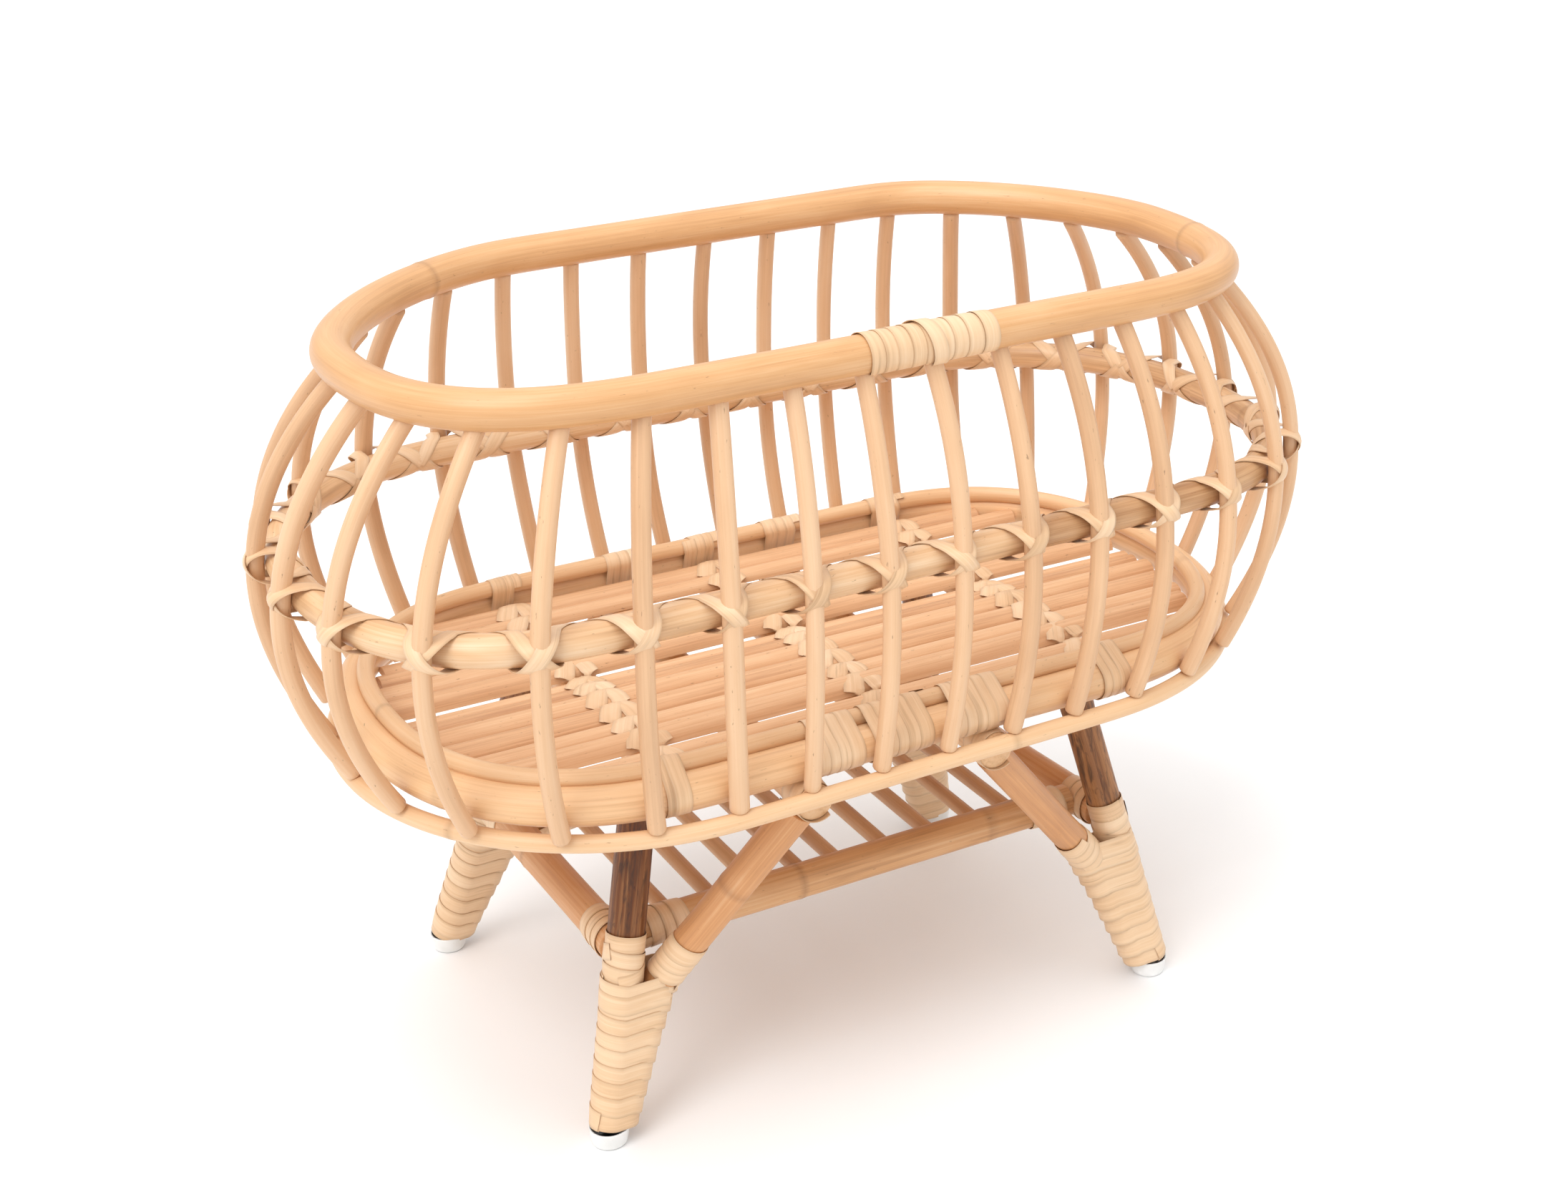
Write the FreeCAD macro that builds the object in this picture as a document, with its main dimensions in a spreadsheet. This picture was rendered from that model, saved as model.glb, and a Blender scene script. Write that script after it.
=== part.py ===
import FreeCAD, Part
import math
import os

# Rattan bassinet on a splayed stand. Millimetres, +X along the basket, -Y is the front,
# +Z up, origin on the floor under the middle of the basket.

os.makedirs("parts", exist_ok=True)

doc = FreeCAD.newDocument("bassinet")
Vec = FreeCAD.Vector
UP = Vec(0, 0, 1)

# ---------------------------------------------------------------- sizes

SIZES = [
    ("rim_radius", 12.0, "top rim pole"),
    ("rim_height", 496.7, "top rim centreline above the floor"),
    ("hoop_radius", 9.7, "mid hoop pole"),
    ("hoop_height", 367.2, "mid hoop centreline"),
    ("base_radius", 11.5, "base hoop pole"),
    ("base_height", 253.5, "base hoop centreline"),
    ("inner_radius", 5.7, "thin ring lying on the base hoop"),
    ("inner_height", 266.5, "inner ring centreline"),
    ("trim_radius", 5.4, "thin ring under the spindle feet"),
    ("trim_height", 238.7, "trim ring centreline"),
    ("spindle_radius", 5.5, "spindle stick"),
    ("pole_radius", 11.5, "legs, cross poles and rails"),
    ("brace_radius", 11.0, "braces"),
    ("bar_radius", 8.5, "slat bars"),
    ("bar_height", 239.5, "slat bar centreline"),
    ("slat_bottom", 248.0, "underside of the deck slats"),
    ("slat_depth", 9.0, "thickness of the thickest slats"),
    ("cross_height", 230.5, "cross pole centreline"),
    ("cross_length", 340.0, "cross pole, end to end"),
    ("rail_height", 120.0, "shelf and end rail centreline"),
    ("rail_spread", 80.0, "shelf rail from the middle plane"),
    ("stick_radius", 5.3, "shelf stick"),
    ("cap_height", 12.0, "foot cap"),
    ("cap_top_radius", 13.0, "foot cap at the leg"),
    ("cap_foot_radius", 11.4, "foot cap on the floor"),
    ("peel", 1.3, "thickness of a peel wrap"),
]

sheet = doc.addObject("Spreadsheet::Sheet", "Sizes")
for row, (alias, value, note) in enumerate(SIZES, start=1):
    sheet.set("A%d" % row, note)
    sheet.set("B%d" % row, str(value))
    sheet.setAlias("B%d" % row, alias)
doc.recompute()
size = {alias: value for alias, value, note in SIZES}

# Plan shapes of the five rings. Each half end is a superellipse quarter joined to a straight side,
# so the hand-bent rim can be fuller at the front corners than at the back ones.
RIM = dict(left=296, right=279, front=147, back=155, front_left=157, front_right=139,
           back_left=166, back_right=127, square_front=2.9, square_back=1.6,
           height="rim_height", lift=0.012)
HOOP = dict(left=331, right=331, front=162, back=162, front_left=134, front_right=160,
            back_left=154, back_right=150, square_front=2.5, square_back=2.1,
            height="hoop_height", lift=0.006)
BASE = dict(left=293, right=293, front=157, back=157, front_left=152, front_right=157,
            back_left=150, back_right=160, square_front=2.3, square_back=2.3,
            height="base_height", lift=0.0)
INNER = dict(left=283, right=283, front=146.5, back=146.5, front_left=140, front_right=135,
             back_left=132, back_right=138, square_front=2.4, square_back=2.4,
             height="inner_height", lift=0.0)
TRIM = dict(left=309, right=309, front=177, back=177, front_left=180, front_right=178,
            back_left=185, back_right=175, square_front=2.05, square_back=2.05,
            height="trim_height", lift=0.012)

SPINDLES = 33
SPINDLE_PHASE = 0.75
# Uneven hand spacing at each height: an overall shift round the ring, a slow wave and where it
# starts, then a wave twice as quick and where that starts, all as fractions of the way round.
SPINDLE_SPACING = {
    "rim": (0.0022, 0.0072, 0.339, 0.0037, 0.235),
    "hoop": (0.0030, 0.0046, -0.462, 0.0053, 0.020),
    "base": (-0.0003, 0.0071, 0.463, 0.0, 0.0),
}

# Legs: foot on the floor and lean towards the middle, per millimetre of height.
LEGS = {
    "front_left": dict(foot=(-201, -117), lean=(0.205, 0.150), brace=-1),
    "front_right": dict(foot=(207, -134), lean=(-0.230, 0.180), brace=1),
    "back_left": dict(foot=(-211, 147), lean=(0.265, -0.190), brace=-1),
    "back_right": dict(foot=(186, 124), lean=(-0.190, -0.180), brace=1),
}
# Cross poles run front to back with a slight hand-tied skew.
CROSS_POLES = {"left": -73, "right": 55}
CROSS_SKEW = 7.0
BAR_X = {"left": -152, "middle": -2, "right": 152}
SLAT_WIDTHS = (21, 17, 18, 18, 22, 22, 13, 14, 20, 21, 17, 22, 19, 22)
SLAT_GAPS = (0.4, 1.6, 0.4, 0.4, 0.4, 2.0, 0.4, 0.4, 0.4, 0.4, 0.4, 2.2, 2.2)
STICK_X = (-134, -102, -71, -38, -11, 27, 62, 97, 124)
BASE_TIES_FRONT = ((-162, 18), (-57, 33), (-14, 46), (41, 40), (143, 25))
BASE_TIES_BACK = ((-152, 23), (-63, 32), (-1, 28), (61, 33), (151, 31))

# ---------------------------------------------------------------- ring geometry


def outline(ring, steps=720):
    """Dense closed outline of a ring's centreline, anticlockwise from +X."""
    dense = []
    for i in range(steps):
        angle = 2 * math.pi * i / steps
        c, s = math.cos(angle), math.sin(angle)
        side_x = "right" if c >= 0 else "left"
        side_y = "back" if s >= 0 else "front"
        end = ring[side_y + "_" + side_x]
        power = 2.0 / ring["square_" + side_y]
        x = (ring[side_x] - end) + end * abs(c) ** power
        y = ring[side_y] * abs(s) ** power
        x, y = math.copysign(x, c), math.copysign(y, s)
        dense.append(Vec(x, y, size[ring["height"]] + ring["lift"] * x))
    return dense


def ring_curve(ring, count=32):
    """Smooth closed centreline through points evenly spaced along the outline."""
    dense = outline(ring)
    lengths = [0.0]
    for a, b in zip(dense, dense[1:] + dense[:1]):
        lengths.append(lengths[-1] + (b - a).Length)
    points = []
    k = 0
    for i in range(count):
        target = lengths[-1] * i / count
        while lengths[k + 1] < target:
            k += 1
        t = (target - lengths[k]) / (lengths[k + 1] - lengths[k])
        a, b = dense[k], dense[(k + 1) % len(dense)]
        points.append(a + (b - a) * t)
    curve = Part.BSplineCurve()
    curve.interpolate(points, PeriodicFlag=True)
    return curve


CURVES = {name: ring_curve(ring) for name, ring in
          (("rim", RIM), ("hoop", HOOP), ("base", BASE), ("inner", INNER), ("trim", TRIM))}
FINE = {name: curve.toShape().discretize(721)[:-1] for name, curve in CURVES.items()}


def on_ring(name, fraction):
    """Point, tangent and outward normal at a fraction of the way round."""
    points = FINE[name]
    i = int(round(fraction * len(points))) % len(points)
    tangent = points[(i + 2) % len(points)] - points[i - 2]
    tangent.z = 0
    tangent.normalize()
    return points[i], tangent, Vec(tangent.y, -tangent.x, 0)


def side_fraction(name, x, front):
    """Fraction of the way round where the front or back side passes x."""
    points = FINE[name]
    wanted = [i for i, p in enumerate(points) if (p.y < 0) == front]
    return min(wanted, key=lambda i: abs(points[i].x - x)) / len(points)


# ---------------------------------------------------------------- builders

nodes = {}


def turned(start, direction):
    return FreeCAD.Placement(start, FreeCAD.Rotation(UP, direction))


def pole(name, start, end, radius_alias):
    body = doc.addObject("Part::Cylinder", name)
    body.setExpression("Radius", "Sizes.%s" % radius_alias)
    body.Height = (end - start).Length
    body.Placement = turned(start, end - start)
    return body


def through(points):
    curve = Part.BSplineCurve()
    curve.interpolate(points)
    return curve


def bent(name, curve, radius_alias):
    """A round pole swept along a smooth curve."""
    path = doc.addObject("Part::Feature", name + "_path")
    path.Shape = Part.Wire([curve.toShape()])
    start = curve.FirstParameter
    section = doc.addObject("Part::Circle", name + "_section")
    section.setExpression("Radius", "Sizes.%s" % radius_alias)
    section.Placement = turned(curve.value(start), curve.tangent(start)[0])
    sweep = doc.addObject("Part::Sweep", name)
    sweep.Sections = [section]
    sweep.Spine = (path, ["Edge1"])
    sweep.Solid = True
    sweep.Frenet = False
    return sweep


def solid(name, shape):
    body = doc.addObject("Part::Feature", name)
    body.Shape = shape
    return body


def group(name, members):
    body = doc.addObject("Part::Compound", name)
    body.Links = members
    return body


def cut(name, base, tool):
    body = doc.addObject("Part::Cut", name)
    body.Base = base
    body.Tool = tool
    return body


def rod(centre, direction, radius, length):
    """Plain cylinder shape centred on a point."""
    start = centre - direction * (length / 2.0)
    return Part.makeCylinder(radius, length, start, direction)


def band(centre, direction, radius, length):
    """Peel wound round a pole: a thin tube."""
    inside = rod(centre, direction, radius, length + 2)
    return rod(centre, direction, radius + size["peel"], length).cut(inside)


def add(body):
    nodes[body.Name] = body


# ---------------------------------------------------------------- basket rings

for label, ring, alias in (("top_rim", "rim", "rim_radius"), ("mid_hoop", "hoop", "hoop_radius"),
                           ("base_hoop", "base", "base_radius"),
                           ("base_inner_ring", "inner", "inner_radius"),
                           ("base_trim_ring", "trim", "trim_radius")):
    add(bent(label, CURVES[ring], alias))

# ---------------------------------------------------------------- spindles


def spindle_fraction(index, ring):
    even = (index + SPINDLE_PHASE) / SPINDLES
    shift, slow, slow_at, quick, quick_at = SPINDLE_SPACING[ring]
    return (even + shift + slow * math.sin(2 * math.pi * (even - slow_at))
            + quick * math.sin(4 * math.pi * (even - quick_at)))


def spindle_points(index):
    """Top under the rim, belly outside the mid hoop, foot on the trim ring."""
    rim, _, _ = on_ring("rim", spindle_fraction(index, "rim"))
    hoop, _, hoop_out = on_ring("hoop", spindle_fraction(index, "hoop"))
    base, _, base_out = on_ring("base", spindle_fraction(index, "base"))
    top = rim - UP * (size["rim_radius"] - 1.0)
    belly = hoop + hoop_out * (size["hoop_radius"] + size["spindle_radius"])
    foot = base + base_out * (size["base_radius"] + size["spindle_radius"] + 0.2)
    foot.z = size["trim_height"] + size["trim_radius"] + TRIM["lift"] * foot.x
    return [top, belly, foot]


spindles = [bent("spindle_%02d" % (i + 1), through(spindle_points(i)), "spindle_radius")
            for i in range(SPINDLES)]
for start in range(0, SPINDLES - 1, 4):
    end = start + 4 if start + 5 < SPINDLES else SPINDLES
    add(group("spindles_%02d_to_%02d" % (start + 1, end), spindles[start:end]))

collars = []
for i in range(SPINDLES):
    top, belly, foot = spindle_points(i)
    hoop, tangent, outward = on_ring("hoop", spindle_fraction(i, "hoop"))
    along = top - foot
    along.normalize()
    wound = rod(hoop, tangent, size["hoop_radius"] + size["peel"], 16)
    saddle = rod(belly, along, size["spindle_radius"] + size["peel"], 16)
    hollow = rod(hoop, tangent, size["hoop_radius"], 20)
    stick = rod(belly, along, size["spindle_radius"], 20)
    collars.append(solid("collar_%02d" % (i + 1), wound.fuse(saddle).cut(hollow).cut(stick)))
add(group("hoop_lashings", collars))

# ---------------------------------------------------------------- rim splice wrap

first = side_fraction("rim", -37, True)
last = side_fraction("rim", 62, True)
splice = [on_ring("rim", first + (last - first) * k / 4.0)[0] for k in range(5)]
turns = []
for a, b in zip(splice, splice[1:]):
    run = b - a
    turns.append(solid("splice_turn_%d" % len(turns),
                       band((a + b) * 0.5, run.normalize(), size["rim_radius"], 22)))
add(group("rim_splice_wrap", turns))

# ---------------------------------------------------------------- deck

for side, x in BAR_X.items():
    reach = min(abs(p.y) for p in FINE["base"] if abs(p.x - x) < 1.5) - 15
    add(pole("slat_bar_" + side, Vec(x, -reach, size["bar_height"]),
             Vec(x, reach, size["bar_height"]), "bar_radius"))

slats = []
rows = {side: [] for side in BAR_X}
edge = (sum(SLAT_WIDTHS) + sum(SLAT_GAPS)) / 2.0
for i, width in enumerate(SLAT_WIDTHS):
    y = edge - width / 2.0
    edge -= width + (SLAT_GAPS[i] if i < len(SLAT_GAPS) else 0)
    inside = [p.x for p in FINE["inner"] if abs(p.y - y) < 1.5]
    left, right = min(inside) + 8, max(inside) - 8
    flat = doc.addObject("Part::Box", "slat_blank_%02d" % (i + 1))
    flat.Length = right - left
    flat.Width = width
    flat.setExpression("Height", "Sizes.slat_depth")
    flat.Placement.Base = Vec(left, y - width / 2.0, size["slat_bottom"])
    # A shallow dome: the slat is the top of a big round pole, split off flat.
    dome_radius = width * 0.62
    dome = doc.addObject("Part::Cylinder", "slat_dome_%02d" % (i + 1))
    dome.Radius = dome_radius
    dome.Height = right - left
    crown = size["slat_bottom"] + min(size["slat_depth"], width * 0.45)
    dome.Placement = turned(Vec(left, y, crown - dome_radius), Vec(1, 0, 0))
    slat = doc.addObject("Part::Common", "slat_%02d" % (i + 1))
    slat.Base = flat
    slat.Tool = dome
    slats.append(slat)
    for side, x in BAR_X.items():
        if left < x - 6 and right > x + 6:
            outer = rod(Vec(x, y, crown - dome_radius), Vec(1, 0, 0), dome_radius + 1.0, 10)
            inner = rod(Vec(x, y, crown - dome_radius), Vec(1, 0, 0), dome_radius, 12)
            keep = Part.makeBox(10, width, 14, Vec(x - 5, y - width / 2.0, size["slat_bottom"]))
            rows[side].append(solid("weave_%s_%02d" % (side, i + 1),
                                    outer.cut(inner).common(keep)))
add(group("deck_slats", slats))
for side, strips in rows.items():
    add(group("deck_weave_" + side, strips))

ties = []
for front, places in ((True, BASE_TIES_FRONT), (False, BASE_TIES_BACK)):
    for x, width in places:
        hoop, tangent, outward = on_ring("base", side_fraction("base", x, front))
        ring = hoop - outward * 10.3
        ring.z = size["inner_height"]
        big = rod(hoop, tangent, size["base_radius"] + size["peel"], width)
        small = rod(ring, tangent, size["inner_radius"] + size["peel"], width)
        hollow = rod(hoop, tangent, size["base_radius"], width + 4)
        hollow = hollow.fuse(rod(ring, tangent, size["inner_radius"], width + 4))
        ties.append(solid("tie_%02d" % (len(ties) + 1), big.fuse(small).cut(hollow)))
add(group("base_ties", ties))

# ---------------------------------------------------------------- stand


def leg_at(leg, height):
    (x, y), (lean_x, lean_y) = leg["foot"], leg["lean"]
    return Vec(x + lean_x * height, y + lean_y * height, height)


def cross_at(side, y):
    return Vec(CROSS_POLES[side] + CROSS_SKEW * y / (size["cross_length"] / 2.0), y,
               size["cross_height"])


half = size["cross_length"] / 2.0
coils = []
for side in CROSS_POLES:
    add(pole("cross_pole_" + side, cross_at(side, -half), cross_at(side, half), "pole_radius"))
    along = cross_at(side, half) - cross_at(side, -half)
    along.normalize()
    for y in (-half + 11, half - 11):
        coils.append(solid("coil_%s_%s" % (side, "front" if y < 0 else "back"),
                           band(cross_at(side, y), along, size["pole_radius"], 20)))
add(group("cross_pole_wraps", coils))

brace_bands = []
for corner, leg in LEGS.items():
    depth = -1 if corner.startswith("front") else 1
    side = "left" if leg["brace"] < 0 else "right"
    inward = -leg["brace"]
    leg_bottom = size["cap_height"] - 0.2
    leg_top = size["bar_height"] - size["bar_radius"] + 1.0
    blank = pole("leg_blank_" + corner, leg_at(leg, -10), leg_at(leg, 250), "pole_radius")
    slab = doc.addObject("Part::Box", "leg_slab_" + corner)
    slab.Length = slab.Width = 700
    slab.Height = leg_top - leg_bottom
    slab.Placement.Base = Vec(-350, -350, leg_bottom)
    trimmed = doc.addObject("Part::Common", "leg_" + corner)
    trimmed.Base = blank
    trimmed.Tool = slab
    add(trimmed)

    cap = doc.addObject("Part::Cone", "foot_cap_" + corner)
    cap.setExpression("Radius1", "Sizes.cap_foot_radius")
    cap.setExpression("Radius2", "Sizes.cap_top_radius")
    cap.setExpression("Height", "Sizes.cap_height")
    cap.Placement.Base = leg_at(leg, size["cap_height"]) - UP * size["cap_height"]
    add(cap)

    # The brace lies scarfed along the inner side of the leg, then swings up to the cross pole.
    goal = cross_at(side, depth * 160.0) + Vec(-inward * 10.5, 0, -20.5)
    foot = leg_at(leg, 30) + Vec(inward * 10, 0, 0)
    shank = leg_at(leg, 66) + Vec(inward * 17.5, 0, 0)
    knee = leg_at(leg, 98) + Vec(inward * 26.0, depth * 2.0, 0)
    rise = knee + (goal - knee) * 0.30
    reach = knee + (goal - knee) * 0.65
    blank = bent("brace_blank_" + corner, through([foot, shank, knee, rise, reach, goal]),
                 "brace_radius")
    brace = cut("brace_" + corner, blank, trimmed)
    add(brace)

    # Peel wound round leg and brace together, then round the leg alone.
    wires = []
    for height, spread in ((14, 4.0), (34, 10.5), (66, 17.5), (98, 26.0), (108, 28.0)):
        a = leg_at(leg, height)
        b = a + Vec(inward * spread, 0, 0)
        radius = size["pole_radius"] + size["peel"] + 0.3
        low, high = (a, b) if a.x < b.x else (b, a)
        left = Part.Arc(low + Vec(0, radius, 0), low - Vec(radius, 0, 0), low - Vec(0, radius, 0))
        right = Part.Arc(high - Vec(0, radius, 0), high + Vec(radius, 0, 0),
                         high + Vec(0, radius, 0))
        below = Part.LineSegment(low - Vec(0, radius, 0), high - Vec(0, radius, 0))
        above = Part.LineSegment(high + Vec(0, radius, 0), low + Vec(0, radius, 0))
        edges = [left.toShape(), below.toShape(), right.toShape(), above.toShape()]
        wires.append(Part.Wire(edges))
    sleeve = Part.makeLoft(wires, True, True)
    axis = leg_at(leg, 200) - leg_at(leg, 0)
    axis.normalize()
    sleeve = sleeve.fuse(rod(leg_at(leg, 118), axis, size["pole_radius"] + size["peel"], 32))
    add(cut("leg_wrap_" + corner, cut("leg_sleeve_" + corner, solid("leg_skin_" + corner, sleeve),
                                      trimmed), blank))

    swing = goal - knee
    swing.normalize()
    brace_bands.append(solid("brace_band_" + corner,
                             band(knee + swing * 30, swing, size["brace_radius"], 16)))
add(group("brace_wraps", brace_bands))

rail_z = size["rail_height"]
gap = size["pole_radius"] - 0.2
rail_bands = []
end_rail_x = {}
for side in ("left", "right"):
    front = leg_at(LEGS["front_" + side], rail_z)
    back = leg_at(LEGS["back_" + side], rail_z)
    run = back - front
    run.normalize()
    add(pole("end_rail_" + side, front + run * gap, back - run * gap, "pole_radius"))
    for y in (-size["rail_spread"], size["rail_spread"]):
        end_rail_x[side, y] = front.x + (back.x - front.x) * (y - front.y) / (back.y - front.y)
    rail_bands.append(solid("end_band_" + side,
                            band(back - run * 34, run, size["pole_radius"], 16)))

for name, y in (("front", -size["rail_spread"]), ("back", size["rail_spread"])):
    start = Vec(end_rail_x["left", y] + gap, y, rail_z)
    end = Vec(end_rail_x["right", y] - gap, y, rail_z)
    add(pole("shelf_rail_" + name, start, end, "pole_radius"))
    for centre in (start + Vec(21, 0, 0), end - Vec(21, 0, 0)):
        rail_bands.append(solid("rail_band_%d" % len(rail_bands),
                                band(centre, Vec(1, 0, 0), size["pole_radius"], 24)))
add(group("rail_wraps", rail_bands))

inside = size["rail_spread"] - size["pole_radius"] + 2.0
sticks = [pole("stick_%02d" % (i + 1), Vec(x, -inside, rail_z), Vec(x, inside, rail_z),
               "stick_radius") for i, x in enumerate(STICK_X)]
add(group("shelf_sticks", sticks))

# ---------------------------------------------------------------- check and export

doc.recompute()
for body in doc.Objects:
    if "Invalid" in body.State or "Error" in body.State:
        raise RuntimeError("%s did not compute: %s" % (body.Name, body.State))

bounds = FreeCAD.BoundBox()
for name, body in nodes.items():
    body.Label = name
    if body.Shape.isNull() or not body.Shape.isValid():
        raise RuntimeError("%s has no valid shape" % name)
    if not body.Shape.Solids:
        raise RuntimeError("%s has no solid" % name)
    bounds.add(body.Shape.BoundBox)
    body.Shape.exportStep("parts/%s.step" % name)

print("nodes", len(nodes), "box", bounds)
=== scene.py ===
import math
import random

import bpy
import numpy as np
from mathutils import Matrix, Vector


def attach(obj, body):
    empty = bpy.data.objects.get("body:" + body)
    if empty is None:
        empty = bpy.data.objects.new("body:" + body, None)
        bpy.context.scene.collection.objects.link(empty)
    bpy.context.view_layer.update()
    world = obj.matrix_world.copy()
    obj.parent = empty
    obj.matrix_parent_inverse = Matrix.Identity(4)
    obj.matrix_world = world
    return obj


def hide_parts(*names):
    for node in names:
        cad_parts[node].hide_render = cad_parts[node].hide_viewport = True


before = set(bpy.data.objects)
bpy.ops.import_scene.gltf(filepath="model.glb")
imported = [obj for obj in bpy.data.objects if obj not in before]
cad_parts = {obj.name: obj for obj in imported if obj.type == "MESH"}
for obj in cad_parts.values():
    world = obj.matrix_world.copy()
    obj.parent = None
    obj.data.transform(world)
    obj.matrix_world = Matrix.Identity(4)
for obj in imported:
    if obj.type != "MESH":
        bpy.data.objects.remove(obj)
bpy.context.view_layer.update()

MM = 0.001
UP = np.array((0.0, 0.0, 1.0))
RING_STEP = 3.0
SMOOTHING = 40

# ------------------------------------------------------------------ frame sizes, in millimetres

RIM = dict(left=296, right=279, front=147, back=155, front_left=157, front_right=139,
           back_left=166, back_right=127, square_front=2.9, square_back=1.6,
           height=496.7, lift=0.012)
HOOP = dict(left=331, right=331, front=162, back=162, front_left=134, front_right=160,
            back_left=154, back_right=150, square_front=2.5, square_back=2.1,
            height=367.2, lift=0.006)
BASE = dict(left=293, right=293, front=157, back=157, front_left=152, front_right=157,
            back_left=150, back_right=160, square_front=2.3, square_back=2.3,
            height=253.5, lift=0.0)
INNER = dict(left=283, right=283, front=146.5, back=146.5, front_left=140, front_right=135,
             back_left=132, back_right=138, square_front=2.4, square_back=2.4,
             height=266.5, lift=0.0)
TRIM = dict(left=309, right=309, front=177, back=177, front_left=180, front_right=178,
            back_left=185, back_right=175, square_front=2.05, square_back=2.05,
            height=238.7, lift=0.012)
RIM_R, HOOP_R, BASE_R, INNER_R, TRIM_R = 12.0, 9.7, 11.5, 5.7, 5.4
SPINDLE_R, POLE_R, BRACE_R, BAR_R, STICK_R = 5.5, 11.5, 11.0, 8.5, 5.3
SPINDLES = 33
SPINDLE_PHASE = 0.75
SPINDLE_SPACING = {
    "rim": (0.0022, 0.0072, 0.339, 0.0037, 0.235),
    "hoop": (0.0030, 0.0046, -0.462, 0.0053, 0.020),
    "base": (-0.0003, 0.0071, 0.463, 0.0, 0.0),
}
LEGS = {
    "front_left": dict(foot=(-201, -117), lean=(0.205, 0.150), brace=-1),
    "front_right": dict(foot=(207, -134), lean=(-0.230, 0.180), brace=1),
    "back_left": dict(foot=(-211, 147), lean=(0.265, -0.190), brace=-1),
    "back_right": dict(foot=(186, 124), lean=(-0.190, -0.180), brace=1),
}
CROSS_POLES = {"left": -73, "right": 55}
BAR_X = {"left": -152, "middle": -2, "right": 152}
SLAT_WIDTHS = (21, 17, 18, 18, 22, 22, 13, 14, 20, 21, 17, 22, 19, 22)
SLAT_GAPS = (0.4, 1.6, 0.4, 0.4, 0.4, 2.0, 0.4, 0.4, 0.4, 0.4, 0.4, 2.2, 2.2)
SLAT_BOTTOM, SLAT_DEPTH = 248.0, 9.0
STICK_X = (-134, -102, -71, -38, -11, 27, 62, 97, 124)
BASE_TIES_FRONT = ((-162, 18), (-57, 33), (-14, 46), (41, 40), (143, 25))
BASE_TIES_BACK = ((-152, 23), (-63, 32), (-1, 28), (61, 33), (151, 31))
RAIL_Z, RAIL_Y, CAP_H = 120.0, 80.0, 12.0

# ------------------------------------------------------------------ vectors and paths


def vec(x, y, z):
    return np.array((x, y, z), float)


def unit(v):
    v = np.asarray(v, float)
    return v / np.maximum(np.linalg.norm(v, axis=-1, keepdims=True), 1e-12)


def resample(points, step, closed=False):
    """Points evenly spaced along a polyline, and the arc length at each."""
    pts = np.asarray(points, float)
    if closed:
        pts = np.vstack([pts, pts[:1]])
    run = np.concatenate([[0], np.cumsum(np.linalg.norm(np.diff(pts, axis=0), axis=1))])
    count = max(int(round(run[-1] / step)), 2)
    at = np.linspace(0, run[-1], count + 1)
    if closed:
        at = at[:-1]
    return np.stack([np.interp(at, run, pts[:, k]) for k in range(3)], axis=1), at, run[-1]


def spline(points, step=4.0):
    """A smooth open curve through the points."""
    pts = np.asarray(points, float)
    pts = np.vstack([2 * pts[0] - pts[1], pts, 2 * pts[-1] - pts[-2]])
    out = []
    for a, b, c, d in zip(pts, pts[1:], pts[2:], pts[3:]):
        for t in np.linspace(0, 1, 24, endpoint=False):
            out.append(0.5 * (2 * b + (c - a) * t + (2 * a - 5 * b + 4 * c - d) * t * t
                              + (3 * b - a - 3 * c + d) * t ** 3))
    out.append(pts[-2])
    return resample(out, step)[0]


def ring(shape, steps=1440):
    """A ring's centreline, evenly spaced and gently smoothed, anticlockwise from +X."""
    dense = []
    for i in range(steps):
        angle = 2 * math.pi * i / steps
        c, s = math.cos(angle), math.sin(angle)
        side_x = "right" if c >= 0 else "left"
        side_y = "back" if s >= 0 else "front"
        end = shape[side_y + "_" + side_x]
        power = 2.0 / shape["square_" + side_y]
        x = math.copysign((shape[side_x] - end) + end * abs(c) ** power, c)
        y = math.copysign(shape[side_y] * abs(s) ** power, s)
        dense.append((x, y, shape["height"] + shape["lift"] * x))
    pts = resample(dense, RING_STEP, closed=True)[0]
    for _ in range(SMOOTHING):
        pts = 0.5 * pts + 0.25 * (np.roll(pts, 1, axis=0) + np.roll(pts, -1, axis=0))
    return pts


RINGS = {"rim": ring(RIM), "hoop": ring(HOOP), "base": ring(BASE), "inner": ring(INNER),
         "trim": ring(TRIM)}


def on_ring(name, fraction):
    """Point, tangent and outward direction at a fraction of the way round."""
    pts = RINGS[name]
    at = (fraction % 1.0) * len(pts)
    i = int(at)
    t = at - i
    n = len(pts)
    point = pts[i % n] * (1 - t) + pts[(i + 1) % n] * t
    tangent = pts[(i + 3) % n] - pts[(i - 2) % n]
    tangent = unit(vec(tangent[0], tangent[1], 0))
    return point, tangent, vec(tangent[1], -tangent[0], 0)


def side_fraction(name, x, front):
    """Fraction of the way round at which the front or back run passes x."""
    pts = RINGS[name]
    wanted = [i for i in range(len(pts)) if (pts[i][1] < 0) == front]
    return min(wanted, key=lambda i: abs(pts[i][0] - x)) / len(pts)


def ring_length(name):
    """Length of a ring's centreline, in millimetres."""
    return len(RINGS[name]) * RING_STEP


def spindle_fraction(index, name):
    """Fraction of the way round a ring at which a spindle meets it."""
    even = (index + SPINDLE_PHASE) / SPINDLES
    shift, slow, slow_at, quick, quick_at = SPINDLE_SPACING[name]
    return (even + shift + slow * math.sin(2 * math.pi * (even - slow_at))
            + quick * math.sin(4 * math.pi * (even - quick_at)))


def wander(at, seed, size, wave):
    """Slow, seeded, smooth variation along a length."""
    r = random.Random(seed)
    total = np.zeros(len(at))
    for k in range(4):
        total += np.sin(at / wave * (0.7 + 0.8 * k) + r.uniform(0, 6.28)) / (1 + 0.6 * k)
    return total * size * 0.5


# ------------------------------------------------------------------ mesh building


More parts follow.
